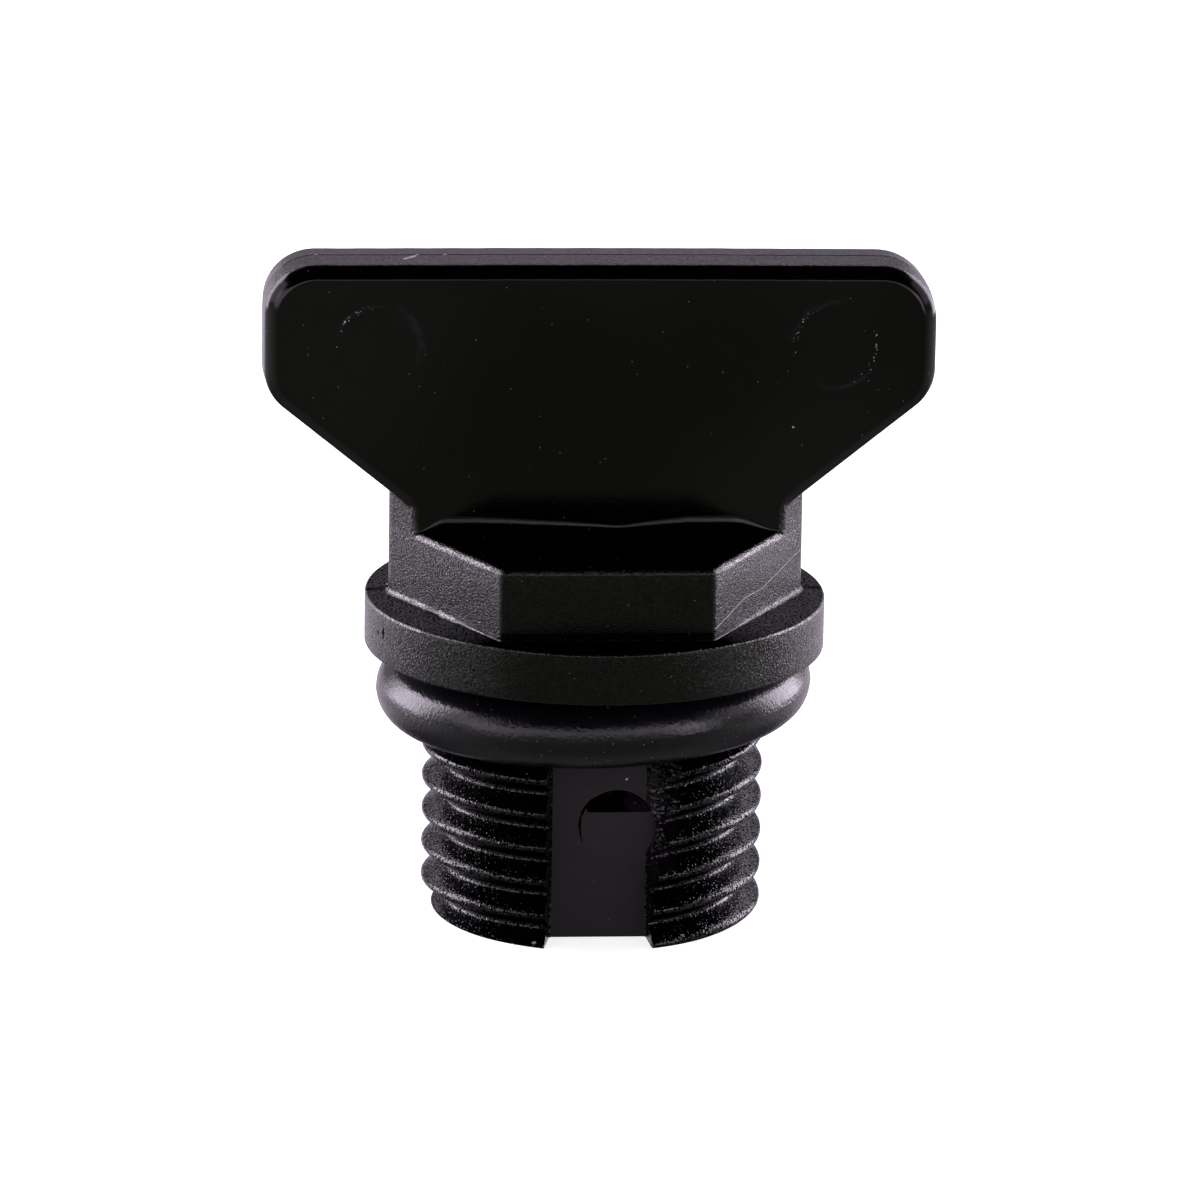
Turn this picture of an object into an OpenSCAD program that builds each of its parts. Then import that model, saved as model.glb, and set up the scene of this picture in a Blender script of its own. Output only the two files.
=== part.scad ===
// Moulded pump drain plug: wing plate and hex head, sealing collar, G 1/4 threaded shank with a drain slot,
// and a separate rubber ring under the collar. +Z runs from the threaded end towards the wing plate, and the
// wing plate lies in the XZ plane. Z = 0 is the flat threaded end. All sizes are in millimetres.

/* [Thread] */
// Diameter over the thread crests
thread_d = 13.157; // [12.6:0.001:13.6]
// Distance from one crest to the next
thread_pitch = 1.337; // [1:0.001:1.6]
// Height of a thread from root to crest
thread_depth = 0.856; // [0.5:0.001:0.95]
// Angle between the two flanks of the thread
thread_angle = 55; // [45:1:60]
// Radius of the rounded crest
crest_r = 0.184; // [0.12:0.002:0.2]
// Direction in which a crest leaves the threaded end, in degrees from +X towards +Y
thread_start = 266; // [0:1:359]
// Height above the threaded end at which the thread has died out
thread_len = 7.35; // [4:0.05:7.4]
// Angle over which the thread dies out towards the collar
runout_angle = 70; // [30:5:120]

/* [Shank] */
// Length from the threaded end to the underside of the collar
shank_len = 10.45; // [10.4:0.05:14]

/* [Drain slot] */
// Distance from the shank's axis to the floor of the slot
slot_floor = 4.8; // [4:0.05:5.4]
// Width of the slot's floor
slot_w = 3.7; // [2.4:0.05:5]
// Height above the threaded end at which the slot stops
slot_len = 7.6; // [5:0.1:9]
// Slope of each side wall of the slot, in degrees
slot_draft = 12; // [2:1:25]

/* [Collar] */
// Outer diameter of the collar
collar_d = 17.7; // [17:0.1:22]
// Thickness of the collar
collar_h = 2; // [1.4:0.1:3]
// Radius on the collar's two rims
collar_edge_r = 0.18; // [0.05:0.01:0.4]

/* [Hex] */
// Width across the flats of the hex
hex_af = 14; // [12:0.1:14.6]
// Height of the hex above the collar
hex_h = 2.8; // [2:0.05:5]
// Radius on the four corners of the hex away from the parting plane
hex_corner_r = 0.3; // [0.25:0.05:1]
// Radius on the two corners of the hex in the parting plane
hex_parting_r = 0.85; // [0.4:0.05:1.5]
// Radius along the hex's top edges
hex_edge_r = 0.2; // [0.1:0.02:0.24]
// Fillet between the hex and the collar
hex_fillet_r = 0.25; // [0.1:0.05:0.3]

/* [Wing plate] */
// Thickness of the wing plate
wing_t = 3.6; // [2.8:0.1:4.4]
// Width of the wing plate
wing_w = 25.7; // [22:0.1:34]
// Height of the wing plate above the hex
wing_h = 10.5; // [8:0.1:16]
// Length of the plate's straight side, corner to corner
wing_side = 5.1; // [4:0.05:6]
// Slope of the plate's lower edges above the horizontal, in degrees
wing_slope = 39; // [32:0.5:45]
// Radius of the plate's four outline corners
wing_corner_r = 2; // [1:0.1:2.5]
// Radius along the plate's edges
wing_edge_r = 0.52; // [0.2:0.02:0.8]
// Draft of the plate's edges from the parting plane, in degrees
wing_draft = 2.5; // [0:0.5:4]
// Fillet between the wing plate and the hex's top
wing_fillet_r = 0.5; // [0.2:0.05:0.8]

/* [Ejector pin marks] */
// Diameter of the marks on the wing plate
wing_mark_d = 3.1; // [2:0.1:4]
// Depth of the marks on the wing plate
wing_mark_depth = 0.08; // [0.02:0.01:0.3]
// Distance of the left mark from the middle of the plate
wing_mark_left = 8.55; // [7:0.05:10]
// Distance of the right mark from the middle of the plate
wing_mark_right = 8.9; // [7:0.05:10]
// Distance of both marks below the plate's top edge
wing_mark_drop = 3.15; // [2:0.05:4]
// Diameter of the mark on the slot's floor
slot_mark_d = 2.95; // [2:0.05:3.4]
// Depth of the mark on the slot's floor
slot_mark_depth = 0.15; // [0.05:0.01:0.4]
// Distance of the slot's mark to the right of the middle
slot_mark_x = 0.65; // [0:0.05:1]
// Height of the slot's mark above the threaded end
slot_mark_z = 4.4; // [2.5:0.1:5]
// Depth of the pocket at the top of the slot's mark
pocket_depth = 0.6; // [0.2:0.05:1]
// Height of the pocket's lower edge above the middle of the mark
pocket_rise = 0.55; // [0.2:0.05:1]

/* [Sealing ring] */
// Diameter of the ring's round section
ring_cs = 2.62; // [1.8:0.02:2.8]
// Gap between the ring and the shank it hangs on
ring_gap = 0.05; // [0.02:0.01:0.2]
// Gap between the ring and the collar where it touches first
ring_seat_gap = 0.05; // [0.02:0.01:0.2]
// Tilt of the ring on the shank, higher on the right, in degrees
ring_tilt = 2.1; // [0:0.1:2.5]

/* [Hidden] */
moulding_color = [0.03, 0.03, 0.03];
rubber_color = [0.06, 0.06, 0.065];

crest_radius = thread_d / 2;
root_radius = crest_radius - thread_depth;
collar_top = shank_len + collar_h;
hex_top = collar_top + hex_h;
wing_top = hex_top + wing_h;
hex_corner = hex_af / sqrt(3);
embed = 0.3;
cut_margin = 1;
round_fn = 96;

// Steps used for the round stretches that are built point by point
arc_steps = 5;
edge_steps = 4;
turn_steps = 48;

// Unit vector at an angle
function unit(a) = [cos(a), sin(a)];

// Outward normal of the edge from point a to point b of a counter-clockwise outline
function edge_normal(a, b) = let (d = b - a) [d[1], -d[0]] / norm(d);

// Angle of a vector, from 0 to 360
function heading(v) = let (a = atan2(v[1], v[0])) a < 0 ? a + 360 : a;

// Counter-clockwise convex outline with each corner rounded by its own radius, moved inwards by inset
function rounded_outline(corners, radii, inset, steps) =
    let (n = len(corners))
    [for (i = [0 : n - 1])
        let (
            before = edge_normal(corners[(i + n - 1) % n], corners[i]),
            after = edge_normal(corners[i], corners[(i + 1) % n]),
            centre = corners[i] - (before + after) * radii[i] / (1 + before * after),
            start = heading(before),
            turn = (heading(after) - start + 360) % 360
        )
        for (j = [0 : steps]) centre + (radii[i] - inset) * unit(start + turn * j / steps)];

// Solid between copies of one outline: each level is [height, inset]
module lofted(corners, radii, levels, steps) {
    rings = [for (level = levels) rounded_outline(corners, radii, level[1], steps)];
    count = len(rings[0]);
    last = len(levels) - 1;
    points = [for (k = [0 : last]) for (p = rings[k]) [p[0], p[1], levels[k][0]]];
    sides = [for (k = [0 : last - 1]) for (i = [0 : count - 1])
        let (a = k * count + i, b = k * count + (i + 1) % count) [a, a + count, b + count, b]];
    floor_face = [for (i = [0 : count - 1]) i];
    roof_face = [for (i = [count - 1 : -1 : 0]) last * count + i];
    polyhedron(points, concat([floor_face], sides, [roof_face]));
}

// Corners of the hex, with one pair of corners on the X axis
function hex_points() = [for (i = [0 : 5]) hex_corner * unit(60 * i)];
function hex_radii() = [for (i = [0 : 5]) i % 3 == 0 ? hex_parting_r : hex_corner_r];

module hex_head() {
    foot = [for (j = [0 : edge_steps])
        let (a = 90 * j / edge_steps)
        [collar_top + hex_fillet_r * (1 - cos(a)), -hex_fillet_r * (1 - sin(a))]];
    crown = [for (j = [0 : edge_steps])
        let (a = 90 * j / edge_steps)
        [hex_top - hex_edge_r * (1 - sin(a)), hex_edge_r * (1 - cos(a))]];
    buried = [[collar_top - embed, -hex_fillet_r]];
    lofted(hex_points(), hex_radii(), concat(buried, foot, crown), arc_steps);
}

// Part of the hex that rises inside the thickness of the wing plate
module hex_core() {
    rise = wing_foot_z(hex_corner) + embed;
    intersection() {
        translate([0, 0, collar_top])
            linear_extrude(rise - collar_top)
                polygon(rounded_outline(hex_points(), hex_radii(), 0, arc_steps));
        translate([-hex_af, -wing_t / 2, 0])
            cube([2 * hex_af, wing_t, wing_top]);
    }
}

// Height of the plate's sloping lower edge at a distance from the middle
function wing_foot_z(x) = wing_top - wing_side - (wing_w / 2 - x) * tan(wing_slope);

module wing_plate() {
    half_w = wing_w / 2;
    buried_z = hex_top - 2 * embed;
    buried_x = half_w - (wing_top - wing_side - buried_z) / tan(wing_slope);
    corners = [
        [-buried_x, buried_z],
        [buried_x, buried_z],
        [half_w, wing_top - wing_side],
        [half_w, wing_top],
        [-half_w, wing_top],
        [-half_w, wing_top - wing_side]
    ];
    radii = [for (i = [0 : 5]) i < 2 ? wing_edge_r + embed : wing_corner_r];
    flat_half = wing_t / 2 - wing_edge_r;
    flank_inset = flat_half * tan(wing_draft);
    rim = [for (j = [0 : edge_steps])
        let (a = 90 * j / edge_steps)
        [flat_half + wing_edge_r * sin(a), flank_inset + wing_edge_r * (1 - cos(a))]];
    front = [for (j = [edge_steps : -1 : 0]) [-rim[j][0], rim[j][1]]];
    rotate([90, 0, 0])
        lofted(corners, radii, concat(front, [[0, 0]], rim), arc_steps + 1);
}

// Concave strip where one face of the wing plate meets the hex's top
module wing_fillet() {
    arc = [for (j = [0 : edge_steps])
        let (a = 90 * j / edge_steps)
        [-wing_t / 2 - wing_fillet_r * (1 - sin(a)), hex_top + wing_fillet_r * (1 - cos(a))]];
    inner = [[-wing_t / 2 + embed, hex_top + wing_fillet_r], [-wing_t / 2 + embed, hex_top - embed],
        [-wing_t / 2 - wing_fillet_r, hex_top - embed]];
    intersection() {
        rotate([90, 0, 90])
            translate([0, 0, -hex_af])
                linear_extrude(2 * hex_af)
                    polygon(concat(arc, inner));
        translate([0, 0, collar_top])
            linear_extrude(hex_h + wing_h)
                polygon(rounded_outline(hex_points(), hex_radii(), hex_edge_r / 2, arc_steps));
    }
}

module collar() {
    flat_r = collar_d / 2 - collar_edge_r;
    translate([0, 0, shank_len])
        rotate_extrude($fn = round_fn) {
            square([flat_r, collar_h]);
            translate([0, collar_edge_r])
                square([collar_d / 2, collar_h - 2 * collar_edge_r]);
            translate([flat_r, collar_edge_r])
                circle(collar_edge_r, $fn = 24);
            translate([flat_r, collar_h - collar_edge_r])
                circle(collar_edge_r, $fn = 24);
        }
}

// Thread ridge: one rounded V section carried along a right-hand helix, sinking into the shank as it dies out
module thread_ridge() {
    flank = thread_angle / 2;
    crest_centre = crest_radius - crest_r;
    tangent_r = crest_centre + crest_r * sin(flank);
    tangent_z = crest_r * cos(flank);
    sunk_r = root_radius - embed / 2;
    sunk_z = tangent_z + (tangent_r - sunk_r) * tan(flank);
    crest = [for (a = [-(90 - flank) : (90 - flank) / 2 : 90 - flank])
        [crest_centre + crest_r * cos(a), crest_r * sin(a)]];
    section = concat([[sunk_r, -sunk_z]], crest, [[sunk_r, sunk_z]]);
    size = len(section);
    turns_angle = 360 * (thread_len + thread_pitch) / thread_pitch;
    steps = ceil(turn_steps * turns_angle / 360);
    points = [for (i = [0 : steps])
        let (
            travelled = turns_angle * i / steps,
            left = turns_angle - travelled,
            sink = (thread_depth + embed / 3) * pow(max(0, 1 - left / runout_angle), 2),
            z = -thread_pitch + thread_pitch * travelled / 360
        )
        for (q = section)
            let (r = q[0] - sink)
            [r * cos(travelled + thread_start), r * sin(travelled + thread_start), z + q[1]]];
    walls = [for (i = [0 : steps - 1]) for (j = [0 : size - 1])
        let (a = i * size + j, b = i * size + (j + 1) % size, c = a + size, d = b + size)
        each [[a, b, c], [b, d, c]]];
    first = [for (j = [size - 1 : -1 : 0]) j];
    last = [for (j = [0 : size - 1]) steps * size + j];
    polyhedron(points, concat([first], walls, [last]));
}

module shank() {
    cylinder(r = root_radius, h = shank_len + embed, $fn = round_fn);
    intersection() {
        thread_ridge();
        cylinder(r = collar_d, h = shank_len, $fn = round_fn);
    }
}

module drain_slot() {
    depth = crest_radius - slot_floor + cut_margin;
    spread = depth * tan(slot_draft);
    translate([0, 0, -cut_margin])
        linear_extrude(slot_len + cut_margin)
            polygon([
                [-slot_w / 2, -slot_floor],
                [-slot_w / 2 - spread, -slot_floor - depth],
                [slot_w / 2 + spread, -slot_floor - depth],
                [slot_w / 2, -slot_floor]
            ]);
}

module slot_mark() {
    translate([slot_mark_x, -slot_floor, slot_mark_z])
        rotate([90, 0, 0]) {
            translate([0, 0, -slot_mark_depth])
                cylinder(d = slot_mark_d, h = slot_mark_depth + cut_margin, $fn = round_fn);
            intersection() {
                translate([0, 0, -pocket_depth])
                    cylinder(d = slot_mark_d, h = pocket_depth + cut_margin, $fn = round_fn);
                translate([-slot_mark_d, pocket_rise, -pocket_depth - embed])
                    cube([2 * slot_mark_d, slot_mark_d, pocket_depth + cut_margin + 2 * embed]);
            }
        }
}

module wing_marks() {
    for (x = [-wing_mark_left, wing_mark_right])
        translate([x, -wing_t / 2 + wing_mark_depth, wing_top - wing_mark_drop])
            rotate([90, 0, 0])
                cylinder(d = wing_mark_d, h = cut_margin, $fn = round_fn);
}

module plug_body() {
    color(moulding_color)
        difference() {
            union() {
                wing_plate();
                hex_core();
                hex_head();
                wing_fillet();
                mirror([0, 1, 0])
                    wing_fillet();
                collar();
                shank();
            }
            drain_slot();
            slot_mark();
            wing_marks();
        }
}

module o_ring() {
    ring_r = root_radius + ring_gap + ring_cs / 2;
    ring_z = shank_len - ring_seat_gap - ring_cs / 2 - ring_r * sin(ring_tilt);
    color(rubber_color)
        translate([0, 0, ring_z])
            rotate([0, -ring_tilt, 0])
                rotate_extrude($fn = round_fn)
                    translate([ring_r, 0])
                        circle(d = ring_cs, $fn = 48);
}

plug_body();
o_ring();
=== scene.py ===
"""Looks of a moulded pump drain plug.

The black moulding with its thread, the rubber ring, and the studio round them.
"""

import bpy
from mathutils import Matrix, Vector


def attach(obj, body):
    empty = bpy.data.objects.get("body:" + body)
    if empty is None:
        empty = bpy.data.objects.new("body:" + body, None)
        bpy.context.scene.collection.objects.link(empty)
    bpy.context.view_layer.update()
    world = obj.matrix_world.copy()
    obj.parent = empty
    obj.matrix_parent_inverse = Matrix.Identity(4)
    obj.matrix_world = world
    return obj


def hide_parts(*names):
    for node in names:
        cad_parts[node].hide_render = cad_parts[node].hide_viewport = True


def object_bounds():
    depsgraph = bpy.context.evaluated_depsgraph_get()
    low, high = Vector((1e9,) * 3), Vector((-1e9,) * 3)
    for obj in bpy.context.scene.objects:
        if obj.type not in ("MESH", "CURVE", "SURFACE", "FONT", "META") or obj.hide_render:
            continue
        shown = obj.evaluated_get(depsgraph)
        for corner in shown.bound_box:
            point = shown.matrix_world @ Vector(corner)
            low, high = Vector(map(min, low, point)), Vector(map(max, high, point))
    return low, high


bl_info = {
    "name": "Pump drain plug",
    "version": (1, 0, 0),
    "blender": (4, 5, 0),
    "location": "3D View > Sidebar > Drain plug",
    "description": "Builds the moulded drain plug, its sealing ring and a plain studio",
    "category": "Object",
}

import math

import bmesh
import bpy
import numpy as np
from bpy.props import FloatProperty, FloatVectorProperty, PointerProperty
from mathutils import Matrix

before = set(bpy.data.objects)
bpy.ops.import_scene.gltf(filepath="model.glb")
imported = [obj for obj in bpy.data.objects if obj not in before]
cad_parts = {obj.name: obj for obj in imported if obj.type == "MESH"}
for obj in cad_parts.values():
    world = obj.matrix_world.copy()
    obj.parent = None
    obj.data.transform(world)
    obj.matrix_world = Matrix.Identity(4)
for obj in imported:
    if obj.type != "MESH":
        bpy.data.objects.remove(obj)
cad_low, cad_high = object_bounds()

MM = 0.001
# points closer than this become one, in millimetres
WELD = 1e-6
# half width, height and half depth of the part's box, in millimetres
WING_HALF_W = cad_high.x / MM
WING_TOP = cad_high.z / MM
COLLAR_R = cad_high.y / MM
COS_30 = math.cos(math.radians(30))
# half the thread's 55 degrees
THREAD_FLANK = math.radians(27.5)
# height of the plain neck over the thread, in millimetres
NECK_Z = 8.3
# points round the ring, and round its section
RING_TURNS, RING_SIDES = 288, 96
# edges sharper than this stay sharp, in degrees
SHARP_ANGLE = 32

# round marks on the wing and in the slot, in millimetres: centre and radius, or the centre's X and Z
LEFT_PIN, LEFT_PIN_R = (-8.55, -1.80, 22.6), 1.5
RIGHT_PIN, RIGHT_PIN_R = (8.92, -1.80, 22.6), 1.57
PIN_DROP = 3.15
DISC_X, DISC_Z = 0.66, 4.41
# whitened nicks that the photograph shows, in millimetres: place and size
NICKS = (
    (-9.77, -1.8, 23.57, 0.05), (8.22, -1.8, 21.57, 0.04), (7.35, -1.8, 19.4, 0.05),
    (-3.34, -1.95, 15.66, 0.09), (-2.15, -1.95, 15.62, 0.06), (0.99, -1.95, 15.46, 0.07),
    (1.29, -1.95, 15.62, 0.1), (2.9, -1.95, 15.71, 0.06), (-7.91, 0.97, 12.45, 0.1),
    (-3.07, -5.62, 6.65, 0.09), (-2.92, -5.69, 6.87, 0.07), (-3.5, -5.36, 6.13, 0.09),
    (-3.29, -5.49, 3.58, 0.1), (-3.0, -5.65, 3.95, 0.08), (-2.43, -5.92, 2.71, 0.08),
    (-2.54, -5.87, 0.16, 0.1), (3.15, -5.57, 0.22, 0.12), (-4.77, -4.27, 5.24, 0.1),
    (1.81, -4.95, 5.51, 0.09), (1.82, -4.95, 4.79, 0.09), (1.35, -4.8, 5.28, 0.07),
    (0.99, -4.8, 6.32, 0.06), (-10.81, 0.1, 25.75, 0.07), (-5.9, 0.07, 25.75, 0.08),
)
# worn edges of round marks, in millimetres: centre, radius and the side that is worn
WORN_RINGS = (
    (LEFT_PIN, LEFT_PIN_R, (-0.77, 0, 0.64)),
    (RIGHT_PIN, RIGHT_PIN_R, (-0.95, 0, 0.3)),
    (RIGHT_PIN, RIGHT_PIN_R, (0.96, 0, -0.28)),
)
# painted highlights: paler arcs round the wing's pin marks where their rims catch the light, in millimetres:
# centre, radius, width and the side where they show
PIN_RIM_HIGHLIGHTS = (
    (LEFT_PIN, 1.66, 0.30, (0.95, 0, 0.3)),
    (LEFT_PIN, 1.55, 0.12, (-0.5, 0, 0.87)),
    (RIGHT_PIN, 1.64, 0.16, (0.3, 0, -0.95)),
    (RIGHT_PIN, 1.66, 0.20, (-0.6, 0, 0.8)),
)
# where the painted shade in the pocket over the slot's disc gives way to lighter paint, in millimetres
POCKET_END = (1.75, -4.5, 5.35)
# fine scratches, in millimetres: start, end and width
SCRATCHES = (
    ((4.06, -6.97, 12.87), (5.38, -4.68, 13.46), 0.035),
    ((5.38, -4.68, 13.46), (6.15, -3.35, 13.45), 0.03),
    ((6.15, -3.35, 13.45), (7.86, -0.38, 14.13), 0.03),
    ((-7.46, -0.55, 25.74), (-7.10, -0.2, 25.74), 0.12),
    ((-7.14, -0.24, 25.74), (-6.93, 0.07, 25.74), 0.05),
    ((2.1, -5.4, 7.15), (2.76, -5.9, 6.55), 0.05),
)

# soft boxes: name, azimuth from the camera's side, elevation, width and height in degrees, and radiance
SOFT_BOXES = (
    ("left_box", -121, 20, 36, 48, 6.4),
    ("left_high_box", -84, 24, 34, 34, 1.15),
    ("left_strip", -58, 14, 30, 26, 1.3),
    ("front_left_box", -26, 19, 32, 20, 1.2),
    ("front_box", 0, 19, 20, 20, 0.85),
    ("front_right_box", 28, 19, 36, 20, 1.4),
    ("right_strip", 50, 9, 18, 22, 2.5),
    ("right_box", 118, 19, 32, 50, 7.0),
    ("right_high_box", 86, 24, 28, 30, 0.9),
)
BOX_DISTANCE = 0.5
BOX_TINT = (1.0, 0.9, 1.05)
PLUG_MIDDLE = (0, 0, 0.012)
# camera's place in millimetres, its turns in radians and its lens
CAMERA_PLACE = (-24.0099, -322.6825, 105.6418)
CAMERA_AZIMUTH, CAMERA_ELEVATION, CAMERA_ROLL = -0.0749295, 0.2815455, 0.016368
CAMERA_LENS, CAMERA_SENSOR = 262.598, 36.0


class PlugSizes(bpy.types.PropertyGroup):
    """Sizes of the moulding and the ring, in millimetres."""

    crest_r: FloatProperty(name="Crest radius", description="Axis to the thread's crests", default=6.5785)
    pitch: FloatProperty(name="Pitch", description="One crest to the next", default=1.337)
    depth: FloatProperty(name="Thread depth", description="Root to crest", default=0.856)
    round_r: FloatProperty(name="Crest rounding", description="Radius of crests and roots", default=0.1836)
    crest_z: FloatProperty(name="Crest height", description="Last full crest at the slot", default=6.6994)
    runout_end: FloatProperty(name="Thread end", description="Turns from slot to its end", default=0.4865)
    runout: FloatProperty(name="Run-out", description="Turns over which the thread dies out", default=0.1944)
    collar_low: FloatProperty(name="Collar underside", description="Height of its underside", default=10.45)
    collar_h: FloatProperty(name="Collar thickness", description="Height of the collar", default=2.0)
    collar_edge: FloatProperty(name="Collar rim radius", description="Rounding of both rims", default=0.1)
    hex_af: FloatProperty(name="Hex across flats", description="Width across the flats", default=14.0)
    hex_h: FloatProperty(name="Hex height", description="Height of the hex above the collar", default=2.8)
    hex_corner: FloatProperty(name="Hex corner radius", description="The four other corners", default=0.3)
    hex_parting: FloatProperty(name="Hex parting radius", description="The two parting corners", default=0.85)
    hex_edge: FloatProperty(name="Hex top edge radius", description="Rounding of the top edges", default=0.25)
    hex_foot: FloatProperty(name="Hex foot fillet", description="Fillet between hex and collar", default=0.24)
    wing_t: FloatProperty(name="Wing thickness", description="Thickness of the wing plate", default=3.6)
    wing_side: FloatProperty(name="Wing side", description="Height of the plate's straight side", default=5.1)
    wing_slope: FloatProperty(name="Wing slope", description="Lower edges' slope, in degrees", default=39.0)
    wing_corner: FloatProperty(name="Wing corner radius", description="The outline's corners", default=2.0)
    wing_edge: FloatProperty(name="Wing edge radius", description="Rounding along the edges", default=0.52)
    wing_draft: FloatProperty(name="Wing draft", description="Draft of the sides, in degrees", default=2.5)
    neck_corner: FloatProperty(name="Neck corner radius", description="The neck's corners", default=0.5)
    neck_web: FloatProperty(name="Neck web radius", description="Between sloping edge and neck", default=0.3)
    slot_floor: FloatProperty(name="Slot floor", description="Shank's axis to the slot's floor", default=4.8)
    slot_w: FloatProperty(name="Slot width", description="Width of the slot's floor", default=3.7)
    slot_len: FloatProperty(name="Slot length", description="Height at which the slot stops", default=7.6)
    ring_section: FloatProperty(name="Ring section", description="Diameter of the section", default=2.62)
    ring_gap: FloatProperty(name="Ring gap", description="Gap between ring and shank", default=0.05)
    ring_tilt: FloatProperty(name="Ring tilt", description="Tilt of the ring, in degrees", default=2.1)


class PlugFinish(bpy.types.PropertyGroup):
    """Colours and surface of the two materials."""

    moulding_color: FloatVectorProperty(
        name="Moulding", description="Base colour", subtype="COLOR", default=(0.0003, 0.00033, 0.00025)
    )
    slot_color: FloatVectorProperty(
        name="Slot skin", description="Slot's duller skin", subtype="COLOR", default=(0.0105, 0.0055, 0.0120)
    )
    scuff_color: FloatVectorProperty(
        name="Scuffs", description="Whitened plastic", subtype="COLOR", default=(0.45, 0.44, 0.45)
    )
    # colour of the painted highlights along one side of the pin marks' rims
    rim_highlight_color: FloatVectorProperty(
        name="Pin mark edge", description="Round pin marks", subtype="COLOR", default=(0.009, 0.0075, 0.0092)
    )
    rubber_color: FloatVectorProperty(
        name="Rubber", description="Sealing ring's colour", subtype="COLOR", default=(0.0017, 0.0017, 0.0030)
    )


def collar_top(s):
    return s.collar_low + s.collar_h


def hex_top(s):
    return collar_top(s) + s.hex_h


def metres(point):
    """A point in millimetres, as the shader nodes read it."""
    return [v * MM for v in point]


def paint(color, times=1.0):
    """An opaque colour for a shader node, made lighter by a factor."""
    return (*(c * times for c in color), 1)


def smooth_step(x):
    """Zero below 0, one above 1, and a smooth S between."""
    x = np.clip(x, 0.0, 1.0)
    return x * x * (3 - 2 * x)


def between(x, low, high):
    """True where x lies between the two values."""
    return (x > low) & (x < high)


def waver(x, seed, waves=7, low=1.0, high=9.0):
    """Smooth repeatable unevenness: a sum of sine waves whose counts, phases and weights are drawn once."""
    rng = np.random.default_rng(seed)
    counts = rng.uniform(low, high, waves)
    phases = rng.uniform(0, 2 * np.pi, waves)
    weights = rng.uniform(0.4, 1, waves)
    total = np.zeros_like(np.asarray(x, float))
    for count, phase, weight in zip(counts, phases, weights):
        total = total + weight * np.sin(count * x + phase)
    return total / waves


def grid_quads(rows, cols, wrap=True):
    """Quads between neighbouring rows and columns of a grid whose points are numbered row by row.

    With wrap, the last column joins the first.
    """
    r = np.arange(rows - 1)[:, None]
    c = np.arange(cols if wrap else cols - 1)[None, :]
    d = (c + 1) % cols
    a = r * cols + c
    b = r * cols + d
    return np.stack([a, b, b + cols, a + cols], -1).reshape(-1, 4)


def fan(first, cols, centre, back=False):
    """Triangles from a closed row of points, numbered from first on, to a middle point."""
    ring = np.arange(cols)
    after = (ring + 1) % cols
    near, far = (after, ring) if back else (ring, after)
    return np.stack([first + near, first + far, np.full(cols, centre)], -1)


def joined(*parts):
    """Groups of faces as one list."""
    return [face for part in parts for face in part]


def tube_faces(rows, cols):
    """Faces of a closed tube: quads between its rows of points, and a flat face at each end."""
    ring = np.arange(cols)
    return joined(grid_quads(rows, cols), [ring[::-1], (rows - 1) * cols + ring])


def new_piece(name, points, faces):
    """Mesh object from points in millimetres, with its faces pointing outwards."""
    mesh = bpy.data.meshes.new(name)
    mesh.from_pydata((np.asarray(points, float) * MM).tolist(), [], [list(map(int, f)) for f in faces])
    made = bmesh.new()
    made.from_mesh(mesh)
    bmesh.ops.remove_doubles(made, verts=made.verts, dist=WELD * MM)
    bmesh.ops.recalc_face_normals(made, faces=made.faces)
    made.to_mesh(mesh)
    made.free()
    mesh.update()
    obj = bpy.data.objects.new(name, mesh)
    bpy.context.scene.collection.objects.link(obj)
    return obj


def combine(target, operation, *tools):
    """Adds or cuts the tools into the target one by one, and removes them."""
    for tool in tools:
        step = target.modifiers.new("combine", "BOOLEAN")
        step.operation = operation
        step.solver = "EXACT"
        step.object = tool
        evaluated = target.evaluated_get(bpy.context.evaluated_depsgraph_get())
        mesh = bpy.data.meshes.new_from_object(evaluated)
        if len(mesh.polygons) < len(target.data.polygons) / 2:
            raise RuntimeError(f"{operation} with {tool.name} lost the piece")
        target.modifiers.clear()
        old = target.data
        target.data = mesh
        bpy.data.meshes.remove(old)
        bpy.data.objects.remove(tool)


def thread_radius(turn, z, s):
    """Radius of the threaded shank in a direction, in turns from the slot, and at a height.

    The distance along the axis to the nearest crest of a right-hand helix gives a 55 degree profile with
    rounded crests and roots. Near the collar the profile sinks by the square of the way along the run-out.
    """
    root = s.crest_r - s.depth
    along = z - s.crest_z - s.pitch * turn
    number = np.round(along / s.pitch)
    w = np.abs(along - number * s.pitch)
    half = s.pitch / 2
    bend = s.round_r * math.cos(THREAD_FLANK)
    crest = s.crest_r - s.round_r + np.sqrt(np.maximum(s.round_r**2 - w**2, 0))
    valley = root + s.round_r - np.sqrt(np.maximum(s.round_r**2 - (half - w) ** 2, 0))
    side = s.crest_r - s.round_r * (1 - math.sin(THREAD_FLANK)) - (w - bend) / math.tan(THREAD_FLANK)
    profile = np.where(w < bend, crest, np.where(w > half - bend, valley, side))
    left = s.runout_end - (turn + number)
    below_root = 0.1
    sink = (s.depth + below_root) * np.clip(1 - left / s.runout, 0, None) ** 2
    return np.maximum(root, profile - sink)


def hex_radius(angle, inset, s):
    """Distance from the axis to a hex with rounded corners, in a direction in degrees.

    The outline is moved in by inset.
    """
    corner = np.round(angle / 60)
    off = np.abs(angle - 60 * corner)
    radius = np.where(corner % 3 == 0, s.hex_parting, s.hex_corner)
    flat = s.hex_af / 2
    centre = (flat - radius) / COS_30
    bend = 30 - np.degrees(np.arctan((flat - radius) * math.tan(math.radians(30)) / (flat - inset)))
    a = np.radians(off)
    arc = centre * np.cos(a) + np.sqrt(np.maximum((radius - inset) ** 2 - (centre * np.sin(a)) ** 2, 0))
    straight = (flat - inset) / np.cos(np.radians(30 - off))
    return np.where(off < bend, arc, straight)


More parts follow.
